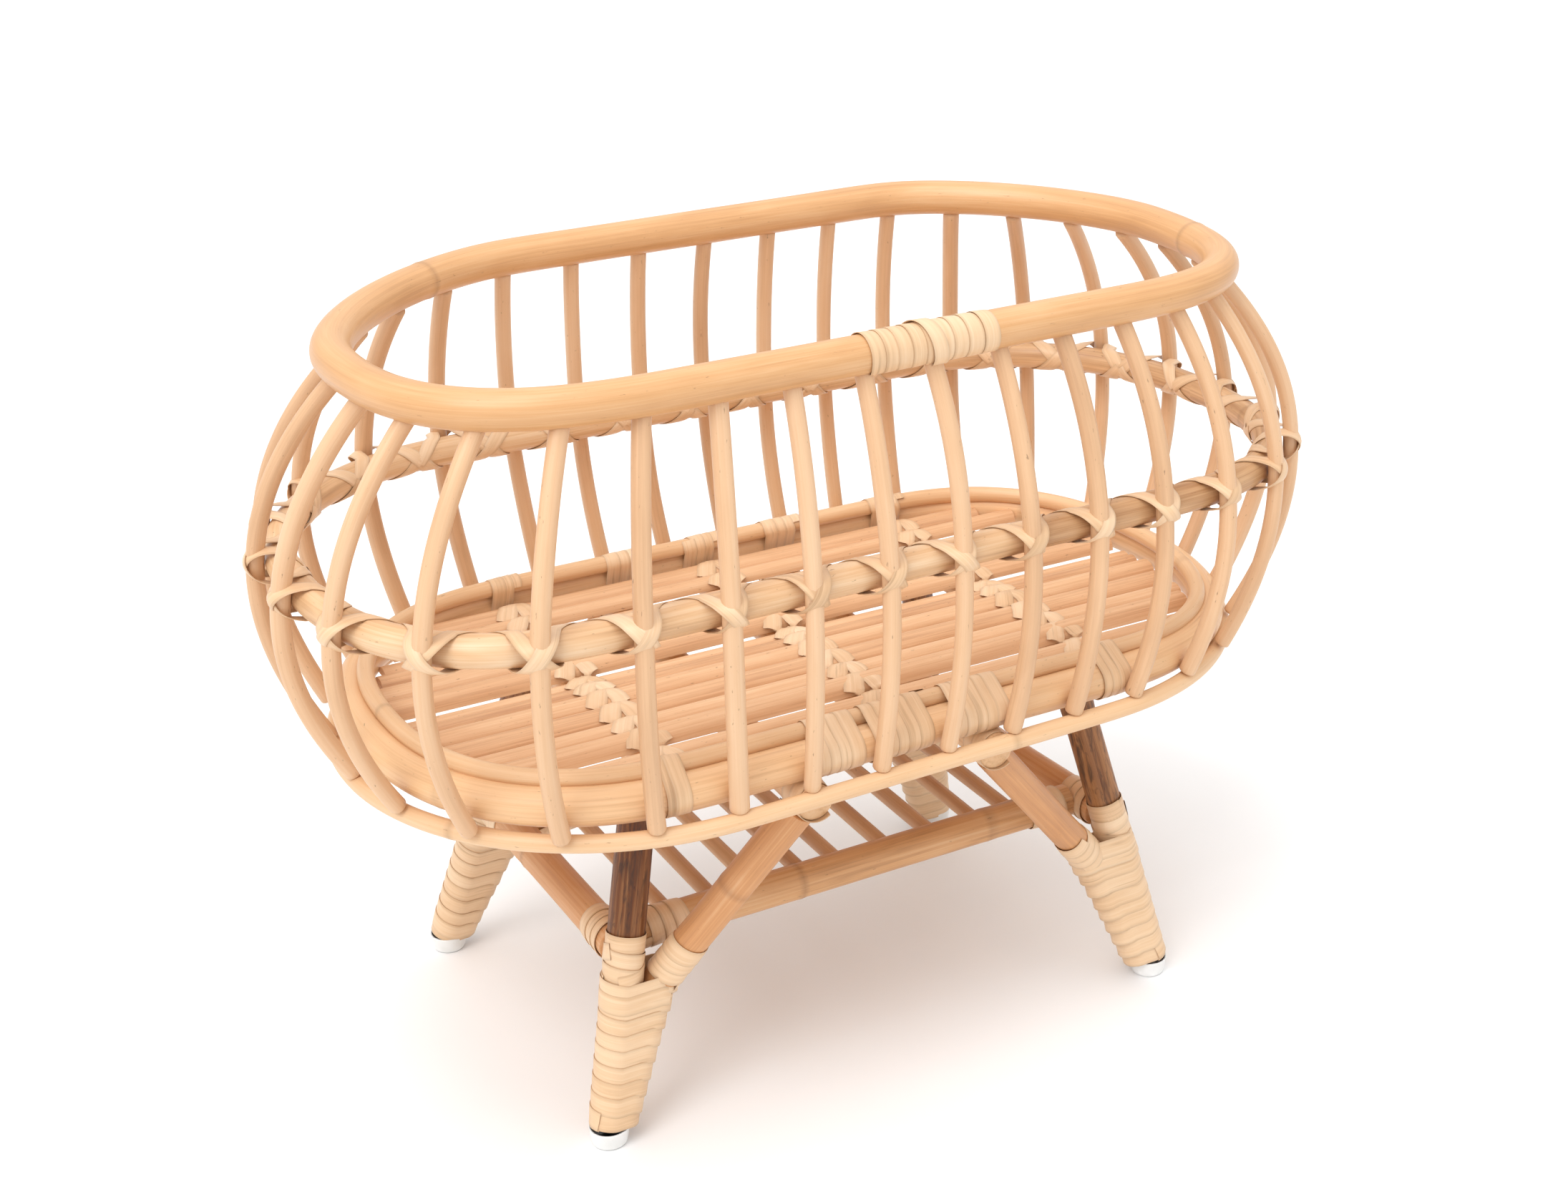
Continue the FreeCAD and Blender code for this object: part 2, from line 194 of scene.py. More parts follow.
class Piece:
    """One object, gathered from quad grids. cane holds each corner's place in the cane itself:
    two coordinates across it and one along it, so that grain can follow every bend."""

    def __init__(self, name):
        self.name = name
        self.verts, self.faces, self.cane, self.tint, self.mark = [], [], [], [], []
        self.count = 0

    def grid(self, points, cane, tint=0.0, mark=None, close_i=False, close_j=True):
        n, m = points.shape[:2]
        i, j = np.meshgrid(np.arange(n if close_i else n - 1),
                           np.arange(m if close_j else m - 1), indexing="ij")
        i1, j1 = (i + 1) % n, (j + 1) % m
        quads = np.stack([i * m + j, i1 * m + j, i1 * m + j1, i * m + j1], axis=-1)
        self.faces.append(quads.reshape(-1, 4) + self.count)
        corners = np.stack([cane[i, j], cane[i + 1, j], cane[i + 1, j1], cane[i, j1]], axis=2)
        self.cane.append(corners.reshape(-1, 3))
        self.verts.append(points.reshape(-1, 3))
        self.tint.append(np.broadcast_to(np.asarray(tint, float).reshape(-1, 1)
                                         if np.ndim(tint) else tint, (n, m)).reshape(-1))
        self.mark.append(np.zeros(n * m) if mark is None else np.broadcast_to(mark, (n, m)).reshape(-1))
        self.count += n * m

    def build(self, material, slot, *nodes, angle=42):
        mesh = bpy.data.meshes.new(self.name)
        verts = np.concatenate(self.verts) * MM
        faces = np.concatenate(self.faces)
        mesh.vertices.add(len(verts))
        mesh.vertices.foreach_set("co", verts.astype(np.float32).ravel())
        mesh.loops.add(faces.size)
        mesh.loops.foreach_set("vertex_index", faces.astype(np.int32).ravel())
        mesh.polygons.add(len(faces))
        mesh.polygons.foreach_set("loop_start", np.arange(0, faces.size, 4, dtype=np.int32))
        mesh.update(calc_edges=True)
        cane = mesh.attributes.new("cane", "FLOAT_VECTOR", "CORNER")
        cane.data.foreach_set("vector", (np.concatenate(self.cane) * MM).astype(np.float32).ravel())
        for name, values in (("tint", self.tint), ("mark", self.mark)):
            layer = mesh.attributes.new(name, "FLOAT", "POINT")
            layer.data.foreach_set("value", np.concatenate(values).astype(np.float32))
        mesh.validate()
        mesh.shade_smooth()
        mesh.set_sharp_from_angle(angle=math.radians(angle))
        obj = bpy.data.objects.new(self.name, mesh)
        bpy.context.scene.collection.objects.link(obj)
        mesh.materials.append(material)
        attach(obj, "root")
        if nodes:
            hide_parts(*nodes)
        return obj


def carried(points, closed, start=None):
    """Tangents and two side directions, carried along the path without twisting."""
    if closed:
        tangent = unit(np.roll(points, -1, axis=0) - np.roll(points, 1, axis=0))
        side = unit(np.cross(tangent, UP))
        return tangent, side, np.cross(side, tangent)
    tangent = unit(np.gradient(points, axis=0))
    first = start if start is not None else (UP if abs(tangent[0][2]) < 0.8 else vec(1, 0, 0))
    side = [unit(np.cross(tangent[0], first))]
    for t in tangent[1:]:
        side.append(unit(side[-1] - t * np.dot(side[-1], t)))
    side = np.array(side)
    return tangent, side, np.cross(side, tangent)


SAWN_END = ((0.45, 0.93), (0.6, 0.6), (0.62, 0.01))
END_MARK = 0.25


def tube(piece, points, radius, closed=False, sides=20, seed=0, joints=(), rough=0.012,
         oval=0.02, tint=0.0, step=4.0, dome=0.0, taper=0.0, nick=None, flats=0.0):
    """A cane: round, slightly oval and uneven, with faint rings where its leaves grew. joints and
    nick are shares of its length, and tint may be a function of that share. An open cane ends
    sawn off, or in a dome of the given height."""
    pts, at, length = resample(points, step, closed)
    if callable(tint):
        tint = tint(at / length)
    tangent, side, other = carried(pts, closed)
    r = radius * (1 + wander(at, seed, rough, 60.0) + taper * (at / length - 0.5))
    mark = np.zeros(len(at))
    for joint in joints:
        gap = at - joint * length
        r = r * (1 + 0.03 * np.exp(-(gap / 2.6) ** 2) - 0.012 * np.exp(-((gap - 5) / 4.0) ** 2))
        mark = np.maximum(mark, np.exp(-(gap / 2.4) ** 2))
    if nick is not None:
        gap = at - nick * length
        r = r * (1 - 0.16 * np.exp(-(gap / 2.2) ** 2))
        mark = np.maximum(mark, 2.2 * np.exp(-(gap / 2.0) ** 2))
    r = np.repeat(r[:, None], sides, axis=1)
    angle = np.linspace(0, 2 * math.pi, sides, endpoint=False)
    phase = random.Random(seed + 5).uniform(0, 6.28)
    r = r * (1 + oval * np.cos(2 * angle + phase)[None, :]
             + flats * np.cos(5 * angle + phase * 2)[None, :])
    centre, along = pts, at
    if not closed:
        # Close each end with three rings that turn in: (how far out, share of the radius).
        inset = ((0.45 * dome, 0.9), (0.8 * dome, 0.62), (dome, 0.02)) if dome else SAWN_END
        for k, way in ((0, -1), (-1, 1)):
            added = [(centre[k] + way * tangent[k] * out, r[k] * share, side[k], other[k],
                      along[k] + way * out, END_MARK) for out, share in inset]
            rows = [(np.array(column), old) for column, old
                    in zip(zip(*added), (centre, r, side, other, along, mark))]
            if way < 0:
                rows = [np.concatenate([new[::-1], old]) for new, old in rows]
            else:
                rows = [np.concatenate([old, new]) for new, old in rows]
            centre, r, side, other, along, mark = rows
    cosine, sine = np.cos(angle), np.sin(angle)
    around = side[:, None, :] * cosine[None, :, None] + other[:, None, :] * sine[None, :, None]
    grid = centre[:, None, :] + around * r[:, :, None]
    shift = random.Random(seed + 9).uniform(0, 4000)
    rows = np.concatenate([along, [length]]) if closed else along
    wide = np.vstack([r, r[:1]]) if closed else r
    cane = np.stack([wide * cosine[None, :] + seed * 37.0 % 400, wide * sine[None, :],
                     np.repeat((rows + shift)[:, None], sides, axis=1)], axis=2)
    piece.grid(grid, cane, tint, np.repeat(mark[:, None], sides, axis=1), close_i=closed)


# A strip's cross-section: offsets across the face and its height there, then the flat back.
ACROSS = np.array((-1.0, -0.95, -0.6, 0.0, 0.6, 0.95, 1.0))
CROWN = np.array((0.7, 0.95, 1.0, 1.0, 1.0, 0.95, 0.7))
UNDER = np.array((0.94, 0.0, -0.94))


def strip(piece, points, normals, width, thick=0.9, seed=0, tint=0.0, shingle=0.0, place=None,
          bow=0.0):
    """A flat strip of peel laid along a path. place(i, across) gives a point and an upward
    direction for each offset across the strip where it has to follow a surface; otherwise the
    strip is flat across. shingle lifts one edge and bow lifts the middle."""
    pts = np.asarray(points, float)
    nrm = unit(normals)
    n = len(pts)
    tangent = unit(np.gradient(pts, axis=0))
    wide = unit(np.cross(tangent, nrm))
    at = np.concatenate([[0], np.cumsum(np.linalg.norm(np.diff(pts, axis=0), axis=1))])
    half = width / 2 * (1 + wander(at, seed, 0.03, 24.0))
    drift = wander(at, seed + 3, 0.18, 30.0)
    offsets = np.concatenate([ACROSS, UNDER])
    heights = np.concatenate([CROWN * thick, np.zeros(3)])
    grid = np.zeros((n, len(offsets), 3))
    for k, (a, h) in enumerate(zip(offsets, heights)):
        lift = np.broadcast_to(h + shingle * (a * 0.5 + 0.5) + bow * (1 - a * a), n)
        if place is None:
            grid[:, k] = pts + wide * (a * half + drift)[:, None] + nrm * np.reshape(lift, (-1, 1))
        else:
            for i in range(n):
                base, up = place(i, a * half[i] + drift[i])
                grid[i, k] = base + up * lift[i]
    r = random.Random(seed + 11)
    shift, across_shift = r.uniform(0, 3000), r.uniform(0, 300)
    cane = np.stack([np.repeat((offsets * width / 2 + across_shift)[None, :], n, axis=0),
                     np.repeat(heights[None, :], n, axis=0),
                     np.repeat((at + shift)[:, None], len(offsets), axis=1)], axis=2)
    mark = np.repeat(np.clip((np.abs(offsets) - 0.8) / 0.2, 0, 1)[None, :] * 0.5, n, axis=0)
    tints = tint + wander(at, seed + 21, 0.10, 90.0)
    piece.grid(grid, cane, tints, mark, close_i=False, close_j=True)


def coil(piece, section, axis, start, turns, pitch, width, seed=0, phase=0.0, thick=0.6,
         tint=0.0, shingle=0.6, lift=0.0, square=0.0):
    """Peel wound round one or more poles. section(a) lists (centre, radius) at a along axis.
    square lays each turn straight across, and moves on to the next in the last part of it."""
    axis = unit(axis)
    u = unit(np.cross(axis, UP if abs(axis[2]) < 0.9 else vec(0, 1, 0)))
    v = np.cross(axis, u)
    r = random.Random(seed)
    uneven = [r.uniform(-0.07, 0.07) * pitch for _ in range(int(abs(turns)) + 3)]
    pts, nrm = [], []
    steps = max(int(abs(turns) * 60), 8)
    for i in range(steps + 1):
        turn = turns * i / steps
        k = int(abs(turn))
        part = abs(turn) - k
        ramp = np.clip((part - 0.62) / 0.36, 0, 1)
        ramp = ramp * ramp * (3 - 2 * ramp)
        share = part * (1 - square) + ramp * square
        along = start + pitch * (k + share) + uneven[k] * (1 - share) + uneven[k + 1] * share
        phi = phase + 2 * math.pi * turn
        d = u * math.cos(phi) + v * math.sin(phi)
        c, radius = max(section(along), key=lambda item: np.dot(item[0], d) + item[1])
        pts.append(c + d * (radius + lift))
        nrm.append(d)
    pts, nrm = np.array(pts), np.array(nrm)
    run = np.concatenate([[0], np.cumsum(np.linalg.norm(np.diff(pts, axis=0), axis=1))])
    at = np.linspace(0, run[-1], max(int(run[-1] / 2.2), 6))
    pts = np.stack([np.interp(at, run, pts[:, k]) for k in range(3)], axis=1)
    nrm = unit(np.stack([np.interp(at, run, nrm[:, k]) for k in range(3)], axis=1))
    strip(piece, pts, nrm, width, thick, seed, tint, shingle)


# ------------------------------------------------------------------ materials


class Nodes:
    """Short helper for building a node tree."""

    def __init__(self, name):
        self.material = bpy.data.materials.new(name)
        self.material.use_nodes = True
        self.tree = self.material.node_tree
        self.tree.nodes.clear()

    def add(self, kind, **settings):
        node = self.tree.nodes.new(kind)
        for key, value in settings.items():
            setattr(node, key, value)
        return node

    def link(self, out, into):
        self.tree.links.new(out, into)

    def math(self, operation, a, b=0.0, clamp=False):
        node = self.add("ShaderNodeMath", operation=operation, use_clamp=clamp)
        for socket, value in zip(node.inputs, (a, b)):
            if isinstance(value, (int, float)):
                socket.default_value = value
            else:
                self.link(value, socket)
        return node.outputs[0]

    def scaled(self, vector, scale):
        node = self.add("ShaderNodeVectorMath", operation="MULTIPLY")
        self.link(vector, node.inputs[0])
        node.inputs[1].default_value = scale
        return node.outputs[0]

    def noise(self, vector, detail=2.0, rough=0.55, distortion=0.0):
        node = self.add("ShaderNodeTexNoise")
        node.inputs["Scale"].default_value = 1.0
        node.inputs["Detail"].default_value = detail
        node.inputs["Roughness"].default_value = rough
        node.inputs["Distortion"].default_value = distortion
        self.link(vector, node.inputs["Vector"])
        return node.outputs["Fac"]

    def remap(self, value, low, high, to_low=0.0, to_high=1.0):
        node = self.add("ShaderNodeMapRange")
        self.link(value, node.inputs["Value"])
        for key, number in (("From Min", low), ("From Max", high),
                            ("To Min", to_low), ("To Max", to_high)):
            node.inputs[key].default_value = number
        return node.outputs["Result"]

    def ramp(self, value, stops):
        node = self.add("ShaderNodeValToRGB")
        elements = node.color_ramp.elements
        while len(elements) < len(stops):
            elements.new(0.5)
        for element, (position, colour) in zip(elements, stops):
            element.position = position
            element.color = (*colour, 1.0)
        self.link(value, node.inputs[0])
        return node.outputs["Color"]

    def mix(self, factor, a, b):
        node = self.add("ShaderNodeMix", data_type="RGBA")
        self.link(factor, node.inputs[0])
        for socket, value in ((node.inputs[6], a), (node.inputs[7], b)):
            if isinstance(value, tuple):
                socket.default_value = (*value, 1.0)
            else:
                self.link(value, socket)
        return node.outputs[2]

    def attribute(self, name, output="Fac"):
        node = self.add("ShaderNodeAttribute", attribute_type="GEOMETRY", attribute_name=name)
        return node.outputs[output]

    def finish(self, colour, roughness, height, distance=0.00025, strength=0.5, coat=0.0,
               coat_roughness=0.3, ior=1.45):
        shader = self.add("ShaderNodeBsdfPrincipled")
        out = self.add("ShaderNodeOutputMaterial")
        self.link(colour, shader.inputs["Base Color"])
        self.link(roughness, shader.inputs["Roughness"])
        shader.inputs["IOR"].default_value = ior
        shader.inputs["Coat Weight"].default_value = coat
        shader.inputs["Coat Roughness"].default_value = coat_roughness
        bump = self.add("ShaderNodeBump")
        bump.inputs["Strength"].default_value = strength
        bump.inputs["Distance"].default_value = distance
        self.link(height, bump.inputs["Height"])
        self.link(bump.outputs["Normal"], shader.inputs["Normal"])
        self.link(shader.outputs[0], out.inputs[0])
        return self.material


def cane_material(name, dark, mid, light, fine=0.30, streak=0.55, blotch=0.5, specks=0.5,
                  rough=0.42, coat=0.12, flecks=0.0, fleck_colour=(0.06, 0.03, 0.015)):
    n = Nodes(name)
    place = n.attribute("cane", "Vector")
    grain = n.noise(n.scaled(place, (1500, 1500, 26)), 3.0, 0.6)
    line = n.noise(n.scaled(place, (420, 420, 7)), 3.0, 0.6)
    patch = n.noise(n.scaled(place, (55, 55, 11)), 2.5, 0.6, 0.4)
    dash = n.noise(n.scaled(place, (620, 620, 190)), 2.0, 0.5)
    pore = n.remap(dash, 0.705, 0.78)
    value = n.math("MULTIPLY_ADD", grain, fine)
    value.node.inputs[2].default_value = 0.5 - (fine + streak + blotch) / 2
    value = n.math("ADD", value, n.math("MULTIPLY", line, streak))
    value = n.math("ADD", value, n.math("MULTIPLY", patch, blotch))
    value = n.math("ADD", value, n.attribute("tint"), clamp=True)
    colour = n.ramp(value, ((0.0, dark), (0.5, mid), (1.0, light)))
    colour = n.mix(n.math("MULTIPLY", pore, specks), colour,
                   tuple(0.45 * c for c in dark))
    if flecks:
        stain = n.noise(n.scaled(place, (280, 280, 48)), 3.0, 0.65, 0.6)
        stain = n.remap(stain, 0.5, 0.66, 0.0, flecks)
        colour = n.mix(stain, colour, fleck_colour)
    ringed = n.math("MULTIPLY", n.attribute("mark"), 0.32, clamp=True)
    colour = n.mix(ringed, colour, tuple(0.5 * c for c in dark))
    roughness = n.remap(line, 0.3, 0.7, rough - 0.05, rough + 0.09)
    height = n.math("SUBTRACT", n.math("ADD", grain, n.math("MULTIPLY", line, 0.8)),
                    n.math("MULTIPLY", pore, 1.2))
    return n.finish(colour, roughness, height, 0.00022, 0.55, coat)


def peel_material(name, dark, mid, light, rough=0.4):
    n = Nodes(name)
    place = n.attribute("cane", "Vector")
    fibre = n.noise(n.scaled(place, (1500, 600, 16)), 3.0, 0.62)
    line = n.noise(n.scaled(place, (420, 200, 5)), 2.5, 0.6)
    patch = n.noise(n.scaled(place, (90, 60, 22)), 2.5, 0.6, 0.5)
    stain = n.remap(n.noise(n.scaled(place, (210, 60, 14)), 2.0, 0.6, 0.3), 0.62, 0.74)
    value = n.math("MULTIPLY_ADD", fibre, 0.45)
    value.node.inputs[2].default_value = 0.5 - (0.45 + 0.55 + 0.6) / 2
    value = n.math("ADD", value, n.math("MULTIPLY", line, 0.55))
    value = n.math("ADD", value, n.math("MULTIPLY", patch, 0.6))
    value = n.math("ADD", value, n.attribute("tint"), clamp=True)
    colour = n.ramp(value, ((0.0, dark), (0.5, mid), (1.0, light)))
    colour = n.mix(n.math("MULTIPLY", stain, 0.5), colour, tuple(0.75 * c for c in dark))
    colour = n.mix(n.math("MULTIPLY", n.attribute("mark"), 0.7, clamp=True), colour,
                   tuple(0.6 * c for c in dark))
    roughness = n.remap(fibre, 0.3, 0.7, rough - 0.06, rough + 0.1)
    height = n.math("ADD", fibre, n.math("MULTIPLY", line, 0.7))
    return n.finish(colour, roughness, height, 0.00016, 0.5, 0.1, 0.35)


def cap_material():
    n = Nodes("foot_cap_plastic")
    coords = n.add("ShaderNodeTexCoord").outputs["Object"]
    scuff = n.noise(n.scaled(coords, (300, 300, 700)), 3.0, 0.6)
    mottle = n.noise(n.scaled(coords, (60, 60, 60)), 2.0, 0.5)
    colour = n.ramp(mottle, ((0.3, (0.80, 0.80, 0.78)), (0.7, (0.90, 0.90, 0.89))))
    colour = n.mix(n.remap(scuff, 0.62, 0.75, 0.0, 0.25), colour, (0.62, 0.58, 0.52))
    material = n.finish(colour, n.remap(scuff, 0.3, 0.7, 0.28, 0.42), scuff, 0.00008, 0.3)
    shader = next(x for x in n.tree.nodes if x.bl_idname == "ShaderNodeBsdfPrincipled")
    shader.inputs["Subsurface Weight"].default_value = 0.35
    shader.inputs["Subsurface Radius"].default_value = (0.004, 0.004, 0.004)
    return material


honey = cane_material("cane_rim", (0.42, 0.195, 0.07), (0.655, 0.355, 0.155), (0.80, 0.53, 0.295),
                      rough=0.36, coat=0.2, specks=0.35, blotch=0.6)
hoop_cane = cane_material("cane_hoop", (0.38, 0.18, 0.07), (0.71, 0.44, 0.235),
                          (0.86, 0.66, 0.45), rough=0.40, coat=0.14, specks=0.6, blotch=1.0,
                          streak=0.7)
base_cane = cane_material("cane_base", (0.47, 0.235, 0.10), (0.79, 0.495, 0.265),
                          (0.83, 0.59, 0.37), rough=0.42, coat=0.12, specks=0.5, streak=0.7)
thin_cane = cane_material("cane_thin", (0.50, 0.26, 0.125), (0.73, 0.455, 0.245),
                          (0.84, 0.61, 0.39), rough=0.42, coat=0.1, specks=0.4)
spindle_cane = cane_material("cane_spindle", (0.50, 0.28, 0.145), (0.71, 0.445, 0.255),
                             (0.81, 0.575, 0.375), rough=0.44, coat=0.08, specks=0.6, streak=0.5,
                             blotch=0.55, fine=0.26)
deck_cane = cane_material("cane_deck", (0.45, 0.215, 0.10), (0.70, 0.41, 0.22),
                          (0.82, 0.56, 0.345), rough=0.5, coat=0.04, specks=0.55, fine=0.5,
                          streak=0.8)
brace_cane = cane_material("cane_brace", (0.38, 0.155, 0.06), (0.63, 0.305, 0.125),
                           (0.80, 0.53, 0.32), rough=0.45, coat=0.08, specks=0.35, streak=0.7)
rail_cane = cane_material("cane_rail", (0.25, 0.11, 0.04), (0.62, 0.325, 0.14),
                          (0.74, 0.49, 0.275), rough=0.42, coat=0.12, specks=0.7, streak=0.9,
                          blotch=0.8)
leg_cane = cane_material("cane_leg", (0.04, 0.010, 0.002), (0.145, 0.040, 0.005),
                         (0.40, 0.18, 0.065), rough=0.46, coat=0.0, specks=0.8, streak=1.1,
                         blotch=0.9, flecks=0.7, fleck_colour=(0.03, 0.014, 0.008))
peel = peel_material("cane_peel", (0.50, 0.29, 0.145), (0.73, 0.485, 0.285), (0.85, 0.64, 0.44))
peel_wide = peel_material("cane_peel_wraps", (0.50, 0.295, 0.15), (0.745, 0.50, 0.295),
                          (0.86, 0.65, 0.44), rough=0.42)
plastic = cap_material()

# ------------------------------------------------------------------ basket

rim = Piece("rim_pole")
turned = side_fraction("rim", 12, True)
shift = int(turned * len(RINGS["rim"]))
tube(rim, np.roll(RINGS["rim"], -shift, axis=0), RIM_R, closed=True, sides=32, seed=1, rough=0.014,
     oval=0.012, joints=(0.21, 0.62))
rim.build(honey, "rim_cane", "top_rim")

wrap = Piece("rim_splice_winding")
first = side_fraction("rim", -37, True)


def rim_section(a):
    return [(on_ring("rim", first + a / ring_length("rim"))[0], RIM_R)]


for part, (start, turns, pitch, tint) in enumerate(((0, 5.2, 9.2, 0.0), (46, 4.0, 10.0, 0.08))):
    axis = on_ring("rim", first + (start + 25) / ring_length("rim"))[1]
    coil(wrap, rim_section, axis, start + 5, turns, pitch, 10.8, seed=40 + part, tint=tint,
         phase=2.6 + 0.4 * part, shingle=0.45, lift=0.1, thick=0.5, square=0.5)
axis = on_ring("rim", first + 42 / ring_length("rim"))[1]
coil(wrap, rim_section, axis, 36, 0.9, 20.0, 10.0, seed=47, tint=0.2, shingle=0.3, lift=1.5,
     phase=2.6)
wrap.build(peel_wide, "peel", "rim_splice_wrap")

hoop = Piece("mid_hoop_pole")
tube(hoop, RINGS["hoop"], HOOP_R, closed=True, sides=28, seed=3, rough=0.02, oval=0.02,
     joints=(0.2, 0.47, 0.96), nick=0.793,
     tint=lambda share: -0.3 + 0.36 * np.minimum(((share - 0.793) % 1.0) / 0.55, 1.0))
hoop.build(hoop_cane, "hoop_cane", "mid_hoop")

# Two strips of peel run round the hoop in opposite hands, one turn to a spindle, so they cross
# over every spindle outside and between the spindles inside. Listed against the angle round the
# hoop, in degrees from straight out: how far along the hoop, how far out, and which way it faces.
CENTRES = [spindle_fraction(i, "hoop") for i in range(SPINDLES)]
HOOP_LENGTH = ring_length("hoop")
TURN = (0, 15, 30, 50, 70, 90)
ASIDE = (0, 3.5, 6.0, 7.8, 8.9, 10.2)
OUT = (20.4, 19.3, 16.2, 12.4, 10.6, 9.9)
FACING = (0, 14, 36, 58, 74, 90)
RISE = 1.6          # how far the crossing sits above the hoop's middle

lashing = Piece("hoop_lashing_strips")
for i in range(SPINDLES):
    here = CENTRES[i] * HOOP_LENGTH
    before = (CENTRES[i - 1] - (1 if i == 0 else 0)) * HOOP_LENGTH
    after = (CENTRES[(i + 1) % SPINDLES] + (1 if i == SPINDLES - 1 else 0)) * HOOP_LENGTH
    for hand in (1, -1):
        r = random.Random(100 + i * 2 + hand)
        upper = hand == (1 if i % 3 else -1)
        slip, tip = r.uniform(-1.0, 1.0), r.uniform(-6, 6)
        wide = r.uniform(0.9, 1.15)
        path, normals, bows, hugs = [], [], [], []
        for t in np.linspace(-1.03, 1.03, 84):
            turn = abs(t) * 180
            way = math.copysign(1, t) * hand
            half = ((after - here) if way > 0 else (here - before)) / 2
            aside = np.interp(turn, TURN + (180, 190), ASIDE + (half, half + 1.6))
            if turn < 90:
                aside *= wide
            out = np.interp(turn, TURN + (190,), OUT + (9.85,))
            facing = math.radians(np.interp(turn, TURN + (190,), FACING + (190,)))
            phi = math.radians(turn + tip * math.sin(math.radians(turn)))
            if t < 0:
                phi, facing = -phi, -facing
            centre, tangent, outward = on_ring("hoop", (here + slip + way * aside) / HOOP_LENGTH)
            cross = math.exp(-(turn / 32.0) ** 2) + math.exp(-((turn - 180) / 40.0) ** 2)
            out += (0.85 if upper else 0.05) * min(cross, 1.0)
            rise = RISE * math.exp(-(turn / 48.0) ** 2)
            path.append(centre + outward * out * math.cos(phi) + UP * (out * math.sin(phi) + rise))
            normals.append(outward * math.cos(facing) + UP * math.sin(facing))
            bows.append(0.35 + 0.75 * math.exp(-(turn / 20.0) ** 2))
            hugs.append((centre, tangent, out, min(max((turn - 48) / 30.0, 0.0), 1.0)))
        path, normals = np.array(path), np.array(normals)
        for _ in range(3):
            path[1:-1] = 0.5 * path[1:-1] + 0.25 * (path[:-2] + path[2:])
            normals[1:-1] = 0.5 * normals[1:-1] + 0.25 * (normals[:-2] + normals[2:])
        wides = unit(np.cross(unit(np.gradient(path, axis=0)), unit(normals)))

        def place(k, across, path=path, normals=normals, wides=wides, hugs=hugs):
            centre, tangent, out, hug = hugs[k]
            point = path[k] + wides[k] * across
            radial = point - centre
            radial = radial - tangent * np.dot(radial, tangent)
            reach = np.linalg.norm(radial)
            return (point + radial * (out / reach - 1) * hug,
                    unit(radial / reach * hug + unit(normals[k]) * (1 - hug)))

        strip(lashing, path, normals, r.uniform(8.6, 10.2), 0.6, seed=200 + 2 * i + (hand > 0),
              tint=r.uniform(-0.14, 0.18), place=place, bow=np.array(bows))
lashing.build(peel, "peel", "hoop_lashings")

for start in range(0, SPINDLES - 1, 4):
    end = start + 4 if start + 5 < SPINDLES else SPINDLES
    group = Piece("spindle_sticks_%02d" % (start // 4 + 1))
    for i in range(start, end):
        rim_p = on_ring("rim", spindle_fraction(i, "rim"))[0]
        hoop_p, _, hoop_out = on_ring("hoop", spindle_fraction(i, "hoop"))
        base_p, _, base_out = on_ring("base", spindle_fraction(i, "base"))
        top = rim_p - UP * (RIM_R - 1.0)
        belly = hoop_p + hoop_out * (HOOP_R + SPINDLE_R + 0.1)
        foot = base_p + base_out * (BASE_R + SPINDLE_R + 0.2)
        foot[2] = TRIM["height"] + TRIM_R + TRIM["lift"] * foot[0] + 1.6
        r = random.Random(300 + i)
        # A springy stick: one bow through its two ends and the hoop, and a little of its own.
        mid = -np.linalg.norm(belly - top)
        low = np.linalg.norm(foot - belly)
        sway = [r.uniform(-1.3, 1.3) for _ in range(4)]
        line = []
        for u in np.linspace(mid, low, 64):
            p = (top * (u * (u - low)) / (mid * (mid - low))
                 + belly * ((u - mid) * (u - low)) / (mid * low)
                 + foot * ((u - mid) * u) / ((low - mid) * low))
            own = math.sin(math.pi * u / (mid if u < 0 else low))
            side = vec(-hoop_out[1], hoop_out[0], 0)
            p = p + (hoop_out * sway[0 if u < 0 else 1] + side * sway[2 if u < 0 else 3]) * own * 0.8
            line.append(p)
        tube(group, line, SPINDLE_R * r.uniform(0.96, 1.05), sides=16, seed=320 + i, rough=0.018,
             oval=0.03, tint=r.uniform(-0.15, 0.13), step=3.2, dome=2.2, taper=r.uniform(-0.04, 0.05))
    group.build(spindle_cane, "spindle_cane", "spindles_%02d_to_%02d" % (start + 1, end))

# ------------------------------------------------------------------ base rings and ties

base = Piece("base_hoop_pole")
turned = side_fraction("base", 41, True)
tube(base, np.roll(RINGS["base"], -int(turned * len(RINGS["base"])), axis=0), BASE_R, closed=True,
     sides=28, seed=6, rough=0.014, oval=0.015, joints=(0.3, 0.78))
base.build(base_cane, "base_cane", "base_hoop")
thin = Piece("base_inner_pole")
tube(thin, np.roll(RINGS["inner"], -150, axis=0), INNER_R, closed=True, sides=18, seed=7,
     rough=0.03, oval=0.03, joints=(0.2, 0.45, 0.66, 0.9), tint=0.05)
thin.build(thin_cane, "thin_cane", "base_inner_ring")
trim = Piece("base_trim_pole")
tube(trim, np.roll(RINGS["trim"], -90, axis=0), TRIM_R, closed=True, sides=18, seed=8, rough=0.03,
     oval=0.03, joints=(0.15, 0.4, 0.62, 0.85), tint=0.1)
trim.build(thin_cane, "thin_cane", "base_trim_ring")

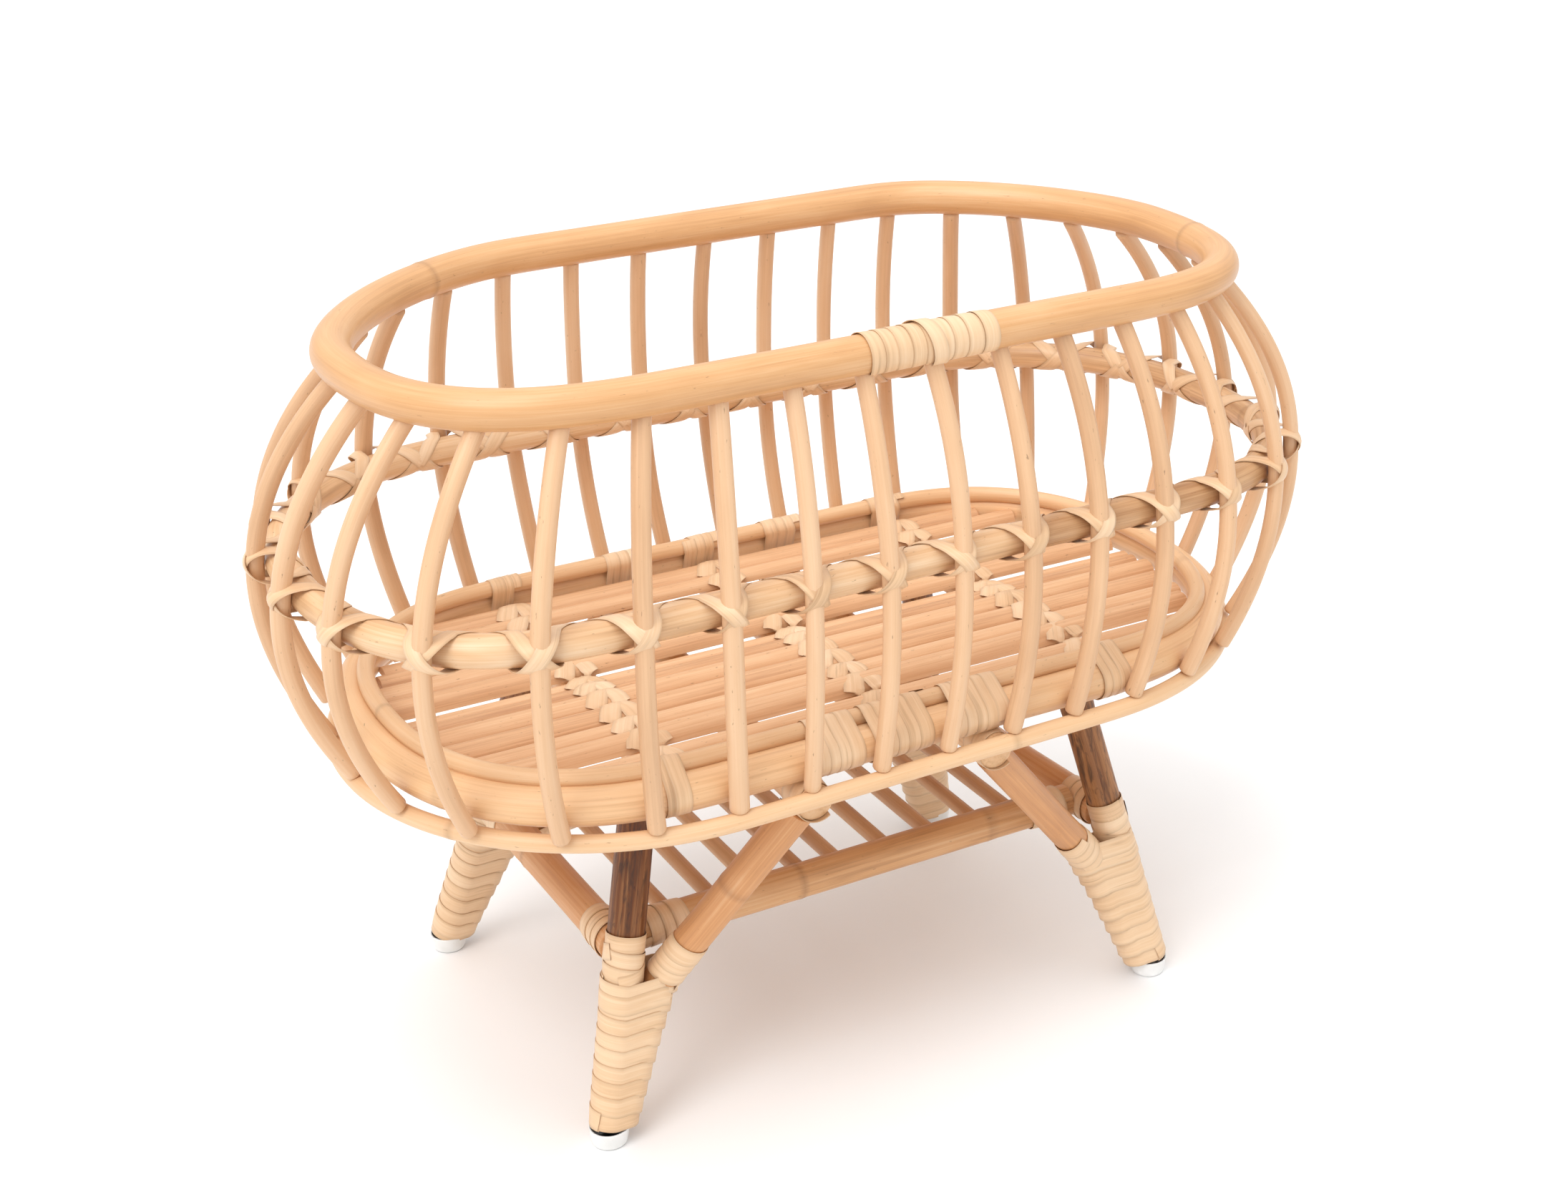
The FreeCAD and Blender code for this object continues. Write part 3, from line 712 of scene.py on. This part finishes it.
ties = Piece("base_tie_strips")
BASE_LENGTH = ring_length("base")
for front, places in ((True, BASE_TIES_FRONT), (False, BASE_TIES_BACK)):
    for k, (x, width) in enumerate(places):
        middle = side_fraction("base", x, front)

        def section(a, middle=middle):
            point, _, outward = on_ring("base", middle + a / BASE_LENGTH)
            inner = point - outward * 10.4
            return [(point, BASE_R + 0.1), (vec(inner[0], inner[1], INNER["height"]), INNER_R + 0.2)]

        axis = on_ring("base", middle)[1]
        turns = max(width / 9.0, 1.6)
        coil(ties, section, axis, -width / 2 + 4, turns, (width - 8) / turns, 10.4,
             seed=500 + k + 10 * front, tint=(-0.08, 0.14, 0.02, 0.16, 0.0)[k], shingle=0.5,
             phase=3.1 + 0.2 * k, square=0.85)
ties.build(peel_wide, "peel", "base_ties")

# ------------------------------------------------------------------ deck

OPEN_GAP = 1.0      # a gap wider than this shows the floor
GAP_TRIM = 1.9      # taken off the slats on both sides of an open gap
LOW_SLAT = 0.66     # share of its height left to the slat in front of an open gap
GAP_LIFT = 1.1      # rise of the slat behind it
# Two strips of weave lie over each slat at a bar and spread towards the front: how far along
# the slat each is from the bar at the back and at the front, its width, and its bow.
WEAVE_LAYERS = ((1.0, 11.0, 11.0, 0.25), (4.0, -8.5, 13.0, 0.8))


def slat_top(y, centre, width):
    """Height of a slat's domed top above its underside."""
    u = min(abs(y - centre) / (width / 2), 1.0)
    return SLAT_DEPTH * min(1.0, width / 20.0) * (1 - u ** 2.3) ** 0.55


slat_group = Piece("deck_slat_sticks")
edge = (sum(SLAT_WIDTHS) + sum(SLAT_GAPS)) / 2.0
slats = []
for i, width in enumerate(SLAT_WIDTHS):
    y = edge - width / 2.0
    edge -= width + (SLAT_GAPS[i] if i < len(SLAT_GAPS) else 0)
    inside = [p[0] for p in RINGS["inner"] if abs(p[1] - y) < 3.0]
    r = random.Random(600 + i)
    left, right = min(inside) + 7 + r.uniform(0, 3), max(inside) - 7 - r.uniform(0, 3)
    xs = np.linspace(left, right, 100)
    sway = wander(xs, 620 + i, 0.35, 90.0)
    high = wander(xs, 640 + i, 0.25, 70.0)
    behind = GAP_TRIM if i and SLAT_GAPS[i - 1] > OPEN_GAP else 0.0
    ahead = GAP_TRIM if i < len(SLAT_GAPS) and SLAT_GAPS[i] > OPEN_GAP else 0.0
    low = LOW_SLAT if behind else 1.0
    slats.append((y, width, left, right, low))
    across = np.concatenate([-np.cos(np.linspace(0, math.pi, 19)), [0.6, -0.6]])
    grid = np.zeros((len(xs), len(across), 3))
    cane = np.zeros_like(grid)
    for k, a in enumerate(across):
        top = low * slat_top(y + a * width / 2, y, width * 0.995) if k < 19 else 0.0
        grid[:, k, 0] = xs
        reach = width / 2 - (behind if a < 0 else ahead)
        grid[:, k, 1] = y - a * reach * (0.985 + 0.01 * np.sin(xs / 31.0 + i)) + sway
        grid[:, k, 2] = SLAT_BOTTOM + top * (1 + high * 0.12) + (0.3 if k < 19 else 0.0) \
            + (GAP_LIFT if ahead else 0.0)
        cane[:, k] = np.stack([np.full(len(xs), a * width / 2 + 60 * i), np.full(len(xs), top),
                               xs + 1000 + 531 * i], axis=1)
    first_ring = grid[:1].copy()
    last_ring = grid[-1:].copy()
    for cap, source in ((first_ring, grid[0]), (last_ring, grid[-1])):
        cap[0] = source.mean(axis=0) + (source - source.mean(axis=0)) * 0.02
    grid = np.concatenate([first_ring, grid, last_ring])
    cane = np.concatenate([cane[:1] * 1.0, cane, cane[-1:]])
    mark = np.zeros(grid.shape[:2])
    mark[0] = mark[-1] = 0.6
    slat_group.grid(grid[:, ::-1], cane[:, ::-1], r.uniform(-0.16, 0.14), mark)
slat_group.build(deck_cane, "deck_cane", "deck_slats", angle=50)

for side, x in BAR_X.items():
    bar = Piece("slat_bar_pole_" + side)
    reach = min(abs(p[1]) for p in RINGS["base"] if abs(p[0] - x) < 4) - 15
    tube(bar, [vec(x, -reach, 239.5), vec(x, reach, 239.5)], BAR_R, sides=20, seed=700 + x)
    bar.build(base_cane, "base_cane", "slat_bar_" + side)

    weave = Piece("deck_weave_strips_" + side)
    for i, (y, width, left, right, low) in enumerate(slats):
        if not left + 14 < x < right - 14:
            continue
        r = random.Random(720 + i + x)
        for layer, (x_back, x_front, across_width, lift) in enumerate(WEAVE_LAYERS):
            ts = np.sin(np.linspace(-1.45, 1.45, 21))
            line = [(x + x_back + (x_front - x_back) * (t * 0.5 + 0.5) + r.uniform(-0.2, 0.2),
                     y - t * (width / 2 + 1.0)) for t in ts]
            dx = (x_front - x_back) / (width + 2.0)
            across_x, across_y = 1 / math.hypot(1, dx), dx / math.hypot(1, dx)

            def surface(px, py, y=y, width=width, low=low):
                top = low * max(slat_top(py, y, width + 0.8), 0.6 * SLAT_DEPTH)
                rise = slat_top(py + 0.4, y, width + 0.8) - slat_top(py - 0.4, y, width + 0.8)
                slope = rise / 0.8
                beyond = max(abs(py - y) - width / 2, 0)
                return vec(px, py, SLAT_BOTTOM + 0.4 + top - beyond * 1.5), \
                    unit(vec(0, -max(min(slope, 1.6), -1.6), 1))

            def place(k, across, line=line, ax=across_x, ay=across_y, surface=surface):
                px, py = line[k]
                return surface(px + ax * across, py + ay * across)

            path = [surface(*p)[0] for p in line]
            normals = [surface(*p)[1] for p in line]
            strip(weave, path, normals, across_width + r.uniform(-0.7, 0.7), 0.5,
                  seed=740 + 3 * i + layer + x, tint=r.uniform(-0.05, 0.2), place=place, bow=lift)
    weave.build(peel, "peel", "deck_weave_" + side)

# ------------------------------------------------------------------ stand


# Radius and height round a foot cap, from its centre underneath to just inside its lip.
CAP_PROFILE = ((0.05, 0.0), (8.6, 0.0), (10.3, 0.35), (11.1, 1.2), (11.5, 2.4), (12.1, 7.0),
               (12.5, 10.2), (12.75, 11.4), (12.6, 11.9), (12.1, 12.0), (11.7, 11.8), (11.65, 10.0))
LEG_BOTTOM, LEG_TOP = 12.5, 233.0


def leg_at(leg, height):
    (x, y), (lean_x, lean_y) = leg["foot"], leg["lean"]
    return vec(x + lean_x * height, y + lean_y * height, height)


def cross_at(side, y):
    return vec(CROSS_POLES[side] + 7.0 * y / 170.0, y, 230.5)


for side in CROSS_POLES:
    pole = Piece("cross_pole_cane_" + side)
    tube(pole, [cross_at(side, -169), cross_at(side, 169)], POLE_R, sides=24,
         seed=800 + len(side))
    pole.build(base_cane, "base_cane", "cross_pole_" + side)
wraps = Piece("cross_pole_windings")
bands = Piece("brace_windings")
for corner, leg in LEGS.items():
    number = list(LEGS).index(corner)
    depth = -1 if corner.startswith("front") else 1
    side = "left" if leg["brace"] < 0 else "right"
    inward = -leg["brace"]
    pole = Piece("leg_cane_" + corner)
    tube(pole, [leg_at(leg, LEG_BOTTOM), leg_at(leg, LEG_TOP)], POLE_R, sides=28, seed=820 + number,
         rough=0.012, joints=(0.86,) if number % 2 else (0.31,), tint=(0.05, 0.32, 0.25, 0.2)[number],
         flats=0.006)
    pole.build(leg_cane, "leg_cane", "leg_" + corner)

    goal = cross_at(side, depth * 160.0) + vec(-inward * 5.0, -depth * 4.0, -9.0)
    heel = leg_at(leg, 17) + vec(inward * 7, 0, 0)
    foot = leg_at(leg, 30) + vec(inward * 10, 0, 0)
    shank = leg_at(leg, 66) + vec(inward * 17.5, 0, 0)
    knee = leg_at(leg, 98) + vec(inward * 26.0, depth * 2.0, 0)
    line = spline([heel, foot, shank, knee, knee + (goal - knee) * 0.3,
                   knee + (goal - knee) * 0.65, goal], 3.5)
    brace = Piece("brace_cane_" + corner)
    tube(brace, line, BRACE_R, sides=24, seed=840 + number, rough=0.015,
         tint=(0.0, -0.1, -0.05, 0.0)[number], joints=(0.72,) if number in (0, 3) else (),
         flats=0.008)
    brace.build(brace_cane, "brace_cane", "brace_" + corner)

    def bundle(a, leg=leg, inward=inward):
        """Leg and brace side by side, closing towards each other down to the cap."""
        at = leg_at(leg, a)
        beside = np.interp(a, (12, 30, 66, 98), (6.2, 9.6, 17.3, 25.6))
        return [(at, POLE_R + 0.15), (at + vec(inward * beside, 0, 0), BRACE_R + 0.2)]

    def alone(a, leg=leg):
        return [(leg_at(leg, a), POLE_R + 0.15)]

    # A closing turn above the cap, the long winding, its top, then three on the leg alone.
    winding = Piece("leg_windings_" + corner)
    axis = unit(leg_at(leg, 200) - leg_at(leg, 0))
    hand = 1 if number % 2 else -1
    for section, start, turns, pitch, width, seed, tint, shingle, lift, phase in (
            (bundle, 17.4, 1.2, 0.6, 12.6, 855, 0.05, 0.2, 0.0, number + 0.6),
            (bundle, 18.0, 7.6, 9.9, 12.4, 860, 0.10, 0.65, 0.4, number + 0.6),
            (bundle, 90.0, 1.9, 7.0, 12.5, 870, 0.16, 0.6, 1.0, number + 2.0),
            (alone, 100.0, 2.4, 9.6, 12.4, 880, 0.18, 0.9, 0.0, number),
            (alone, 127.0, 1.15, 0.4, 12.0, 883, 0.08, 0.2, 0.3, number),
            (alone, 104.0, -0.9, 20.0, 10.5, 885, 0.12, 0.3, 0.9, number + 1.0)):
        coil(winding, section, axis, start, hand * turns, pitch, width, seed=seed + number,
             tint=tint, shingle=shingle, lift=lift, phase=phase)
    winding.build(peel_wide, "peel", "leg_wrap_" + corner)

    swing = unit(goal - knee)

    def on_brace(a, knee=knee, swing=swing):
        return [(knee + swing * a, BRACE_R + 0.15)]

    coil(bands, on_brace, swing, 4.0, 3.2, 8.4, 11.8, seed=890 + number, tint=0.15, shingle=0.7,
         phase=1.0 + number)
    along = cross_at(side, 1) - cross_at(side, -1)

    def on_cross(a, side=side, depth=depth):
        return [(cross_at(side, depth * a), POLE_R + 0.15)]

    coil(wraps, on_cross, along * depth, 148.0, 2.3, 8.4, 10.5, seed=900 + number, tint=0.1,
         shingle=0.8, phase=0.5)

    cap = Piece("foot_cap_shell_" + corner)
    centre = leg_at(leg, CAP_H) - UP * CAP_H
    angle = np.linspace(0, 2 * math.pi, 40, endpoint=False)
    ring_grid = np.array([[centre + vec(rr * math.cos(t), rr * math.sin(t), zz) for t in angle]
                          for rr, zz in CAP_PROFILE])
    cap.grid(ring_grid, ring_grid.copy())
    cap.build(plastic, "foot_plastic", "foot_cap_" + corner, angle=60)
bands.build(peel_wide, "peel", "brace_wraps")
wraps.build(peel_wide, "peel", "cross_pole_wraps")

rail_windings = Piece("rail_windings")
end_x = {}
for number, side in enumerate(("left", "right")):
    front, back = leg_at(LEGS["front_" + side], RAIL_Z), leg_at(LEGS["back_" + side], RAIL_Z)
    run = unit(back - front)
    rail = Piece("end_rail_cane_" + side)
    tube(rail, [front + run * 11.3, back - run * 11.3], POLE_R, sides=24, seed=920 + number,
         tint=0.1, joints=(0.62,))
    rail.build(brace_cane, "leg_cane", "end_rail_" + side)
    for y in (-RAIL_Y, RAIL_Y):
        end_x[side, y] = front[0] + (back[0] - front[0]) * (y - front[1]) / (back[1] - front[1])
    for k, (origin, way) in enumerate(((front, run), (back, -run))):

        def on_rail(a, origin=origin, way=way):
            return [(origin + way * a, POLE_R + 0.15)]

        coil(rail_windings, on_rail, way, 17.0, 3.1, 7.2, 9.6, seed=930 + 2 * number + k,
             tint=0.1, shingle=0.8, phase=1.4 * k)

for number, (name, y) in enumerate((("front", -RAIL_Y), ("back", RAIL_Y))):
    start = vec(end_x["left", y] + 11.3, y, RAIL_Z)
    end = vec(end_x["right", y] - 11.3, y, RAIL_Z)
    rail = Piece("shelf_rail_cane_" + name)
    tube(rail, [start, end], POLE_R, sides=26, seed=950 + number, joints=(0.36, 0.8),
         rough=0.016, flats=0.006)
    rail.build(rail_cane, "rail_cane", "shelf_rail_" + name)
    for k, (origin, way) in enumerate(((start, 1), (end, -1))):

        def on_shelf(a, origin=origin, way=way):
            return [(origin + vec(way * a, 0, 0), POLE_R + 0.15)]

        coil(rail_windings, on_shelf, vec(way, 0, 0), 8.0, 3.1, 8.6, 10.6,
             seed=960 + 2 * number + k, tint=0.08, shingle=0.8, phase=0.7 * k)
rail_windings.build(peel_wide, "peel", "rail_wraps")

sticks = Piece("shelf_stick_canes")
for i, x in enumerate(STICK_X):
    r = random.Random(980 + i)
    reach = RAIL_Y - POLE_R + 1.5
    tube(sticks, [vec(x + r.uniform(-0.8, 0.8), -reach, RAIL_Z + r.uniform(-0.5, 0.8)),
                  vec(x + r.uniform(-0.8, 0.8), reach, RAIL_Z + r.uniform(-0.5, 0.8))],
         STICK_R * r.uniform(0.95, 1.03), sides=16, seed=1000 + i, tint=r.uniform(-0.38, -0.12))
sticks.build(thin_cane, "thin_cane", "shelf_sticks")

# ------------------------------------------------------------------ floor, light and camera

floor_nodes = Nodes("studio_floor")
spot = floor_nodes.add("ShaderNodeTexCoord").outputs["Object"]
soft = floor_nodes.noise(floor_nodes.scaled(spot, (3, 3, 3)), 2.0)
floor_colour = floor_nodes.ramp(soft, ((0.3, (0.90, 0.90, 0.90)), (0.7, (0.915, 0.912, 0.91))))
floor_material = floor_nodes.finish(floor_colour, floor_nodes.remap(soft, 0.3, 0.7, 0.55, 0.6),
                                    soft, 0.0001, 0.1)
floor_mesh = bpy.data.meshes.new("studio_floor")
floor_mesh.from_pydata([(-30, -30, 0), (30, -30, 0), (30, 30, 0), (-30, 30, 0)], [], [(0, 1, 2, 3)])
floor_mesh.materials.append(floor_material)
floor = bpy.data.objects.new("studio_floor", floor_mesh)
bpy.context.scene.collection.objects.link(floor)


def softbox(name, place, target, size, power):
    light = bpy.data.lights.new(name, "AREA")
    light.shape = "RECTANGLE"
    light.size, light.size_y = size
    light.energy = power
    obj = bpy.data.objects.new(name, light)
    obj.location = place
    obj.rotation_euler = (Vector(target) - Vector(place)).to_track_quat("-Z", "Y").to_euler()
    bpy.context.scene.collection.objects.link(obj)


sun = bpy.data.lights.new("key", "SUN")
sun.energy = 1.1
sun.angle = math.radians(32)
sun_object = bpy.data.objects.new("key", sun)
sun_object.rotation_euler = Vector((0.9, 0.45, -1.15)).to_track_quat("-Z", "Y").to_euler()
bpy.context.scene.collection.objects.link(sun_object)
softbox("top", (-0.5, -0.2, 2.2), (0, 0, 0.3), (1.2, 0.8), 9)

world = bpy.data.worlds.new("studio")
bpy.context.scene.world = world
world.use_nodes = True
tree = world.node_tree
coords = tree.nodes.new("ShaderNodeTexCoord")
split = tree.nodes.new("ShaderNodeSeparateXYZ")
height = tree.nodes.new("ShaderNodeMapRange")
height.inputs["To Min"].default_value = 0.66
height.inputs["To Max"].default_value = 1.37
tree.links.new(coords.outputs["Generated"], split.inputs[0])
tree.links.new(split.outputs["Z"], height.inputs["Value"])
tree.links.new(height.outputs["Result"], tree.nodes["Background"].inputs["Strength"])
tree.nodes["Background"].inputs["Color"].default_value = (1.0, 1.0, 1.0, 1)
bpy.context.scene.view_settings.view_transform = "Standard"

camera_data = bpy.data.cameras.new("camera")
camera_data.sensor_width = 36
camera_data.lens = 51.6
camera_data.shift_x = -0.0705
camera_data.shift_y = -0.0979
camera_data.clip_end = 100
camera = bpy.data.objects.new("camera", camera_data)
yaw, pitch, roll = math.radians(30.73), math.radians(20.225), math.radians(0.18)
camera.matrix_world = Matrix.Translation((-0.6421, -1.2057, 0.8894)) \
    @ Matrix.Rotation(-yaw, 4, "Z") @ Matrix.Rotation(math.pi / 2 - pitch, 4, "X") \
    @ Matrix.Rotation(roll, 4, "Z")
bpy.context.scene.collection.objects.link(camera)
bpy.context.scene.camera = camera
